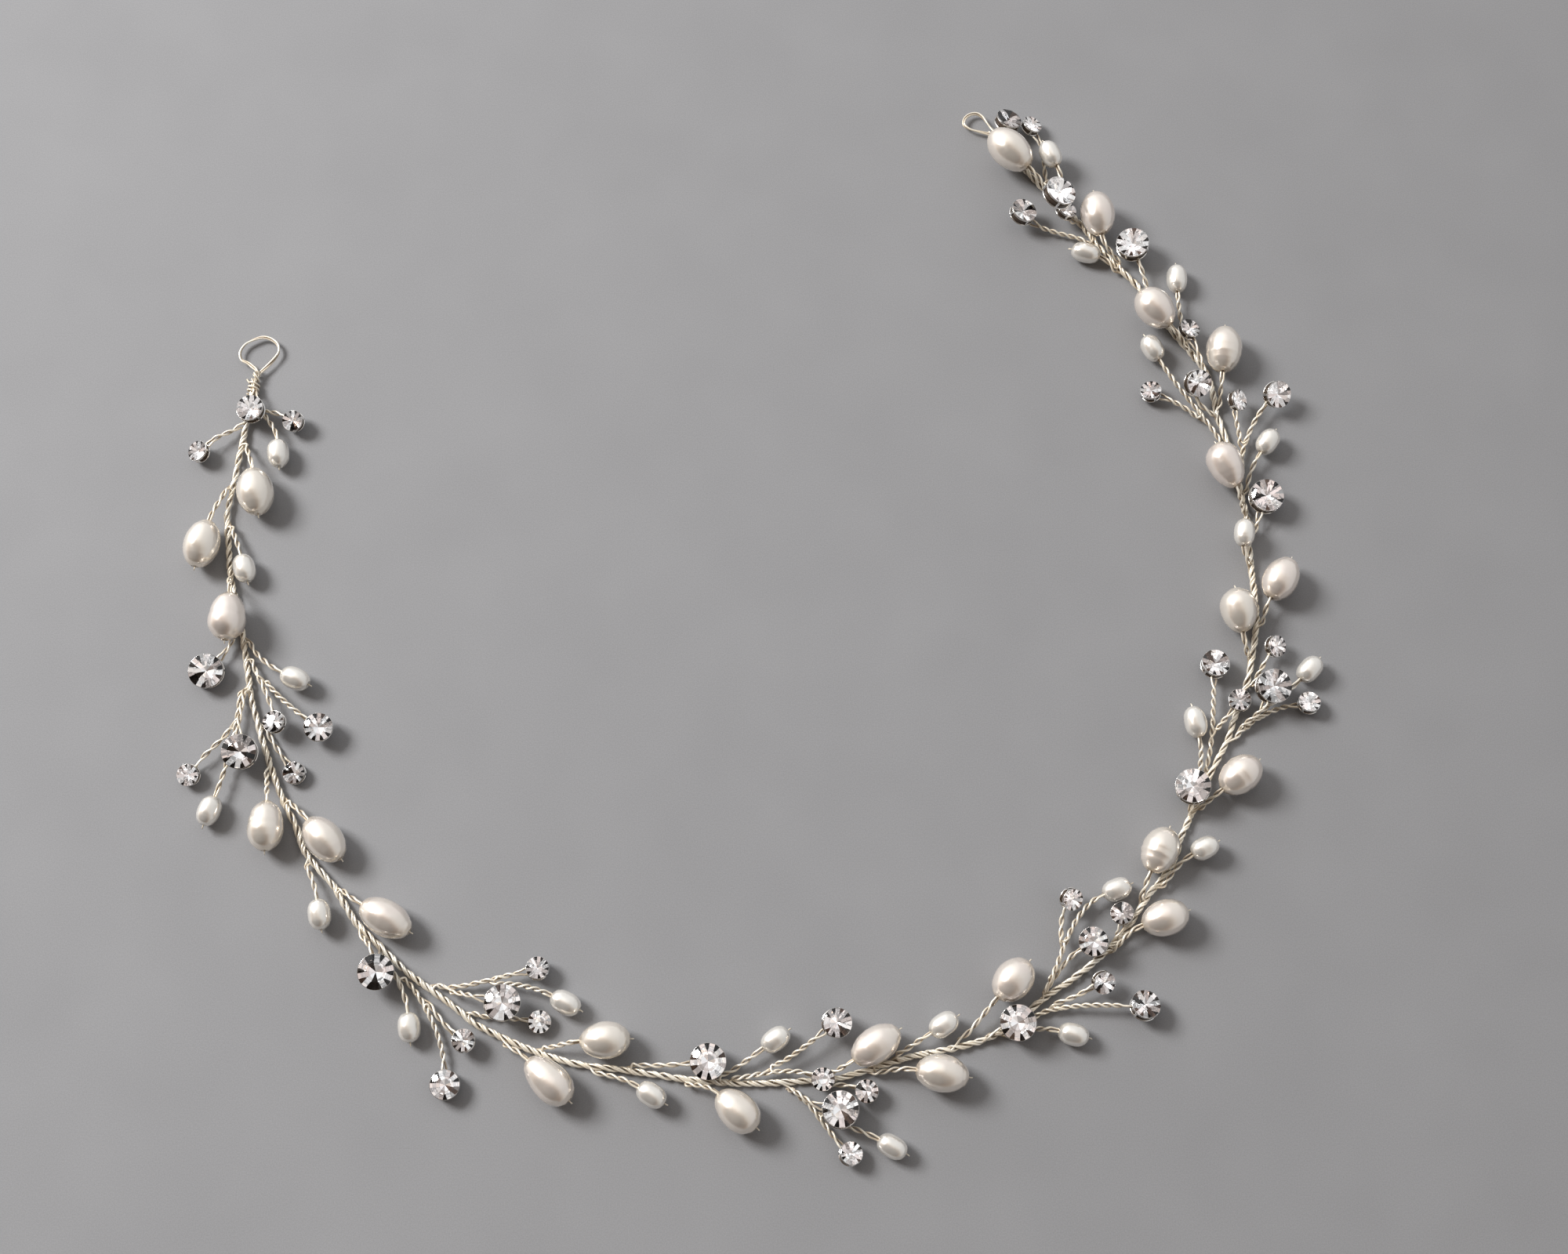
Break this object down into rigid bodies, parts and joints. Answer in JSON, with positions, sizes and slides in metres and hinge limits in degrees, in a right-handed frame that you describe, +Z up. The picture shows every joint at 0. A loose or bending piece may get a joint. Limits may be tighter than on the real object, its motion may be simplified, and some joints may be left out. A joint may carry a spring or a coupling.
{
  "type": "hair vine",
  "caption": "Flexible wire hair vine with drilled pearls and round set crystals on twisted stalks, laid in an open U, with a small pinning loop at each end.",
  "frame": {"origin": "on the floor under the middle of the plan", "axes": "+X across the U from the left arm to the right arm, +Y from the bend towards the two ends, +Z up from the floor"},
  "size_m": [0.1686, 0.1621, 0.0073],
  "materials": {
    "wire": "bright silver-coloured wire, twisted",
    "large_pearl": "ivory freshwater pearl with a soft lustre",
    "small_pearl": "ivory freshwater barrel pearl with a soft lustre",
    "crystal": "clear cut crystal with a foiled back",
    "setting": "bright silver-coloured cup setting with a dark lacquered inside"
  },
  "bodies": {
    "root": {"stem_wire_left": "wire", "stem_wire_right": "wire", "left_loop": "wire", "right_loop": "wire", "loop_wraps": "wire", "sprig_wires_left": "wire", "sprig_wires_bend": "wire", "sprig_wires_right": "wire", "small_pearls": "small_pearl", "medium_crystals": "crystal", "small_crystals": "crystal", "large_settings": "setting", "medium_settings": "setting", "small_settings": "setting", "large_pearl_01": "large_pearl", "large_pearl_02": "large_pearl", "large_pearl_03": "large_pearl", "large_pearl_04": "large_pearl", "large_pearl_05": "large_pearl", "large_pearl_06": "large_pearl", "large_pearl_07": "large_pearl", "large_pearl_08": "large_pearl", "large_pearl_09": "large_pearl", "large_pearl_10": "large_pearl", "large_pearl_11": "large_pearl", "large_pearl_12": "large_pearl", "large_pearl_13": "large_pearl", "large_pearl_14": "large_pearl", "large_pearl_15": "large_pearl", "large_pearl_16": "large_pearl", "large_pearl_17": "large_pearl", "large_pearl_18": "large_pearl", "large_pearl_19": "large_pearl", "large_pearl_20": "large_pearl", "large_pearl_21": "large_pearl", "large_pearl_22": "large_pearl", "large_crystal_01": "crystal", "large_crystal_02": "crystal", "large_crystal_03": "crystal", "large_crystal_04": "crystal", "large_crystal_05": "crystal", "large_crystal_06": "crystal", "large_crystal_07": "crystal", "large_crystal_08": "crystal", "large_crystal_09": "crystal", "large_crystal_10": "crystal", "large_crystal_11": "crystal", "large_crystal_12": "crystal"}
  },
  "joints": []
}
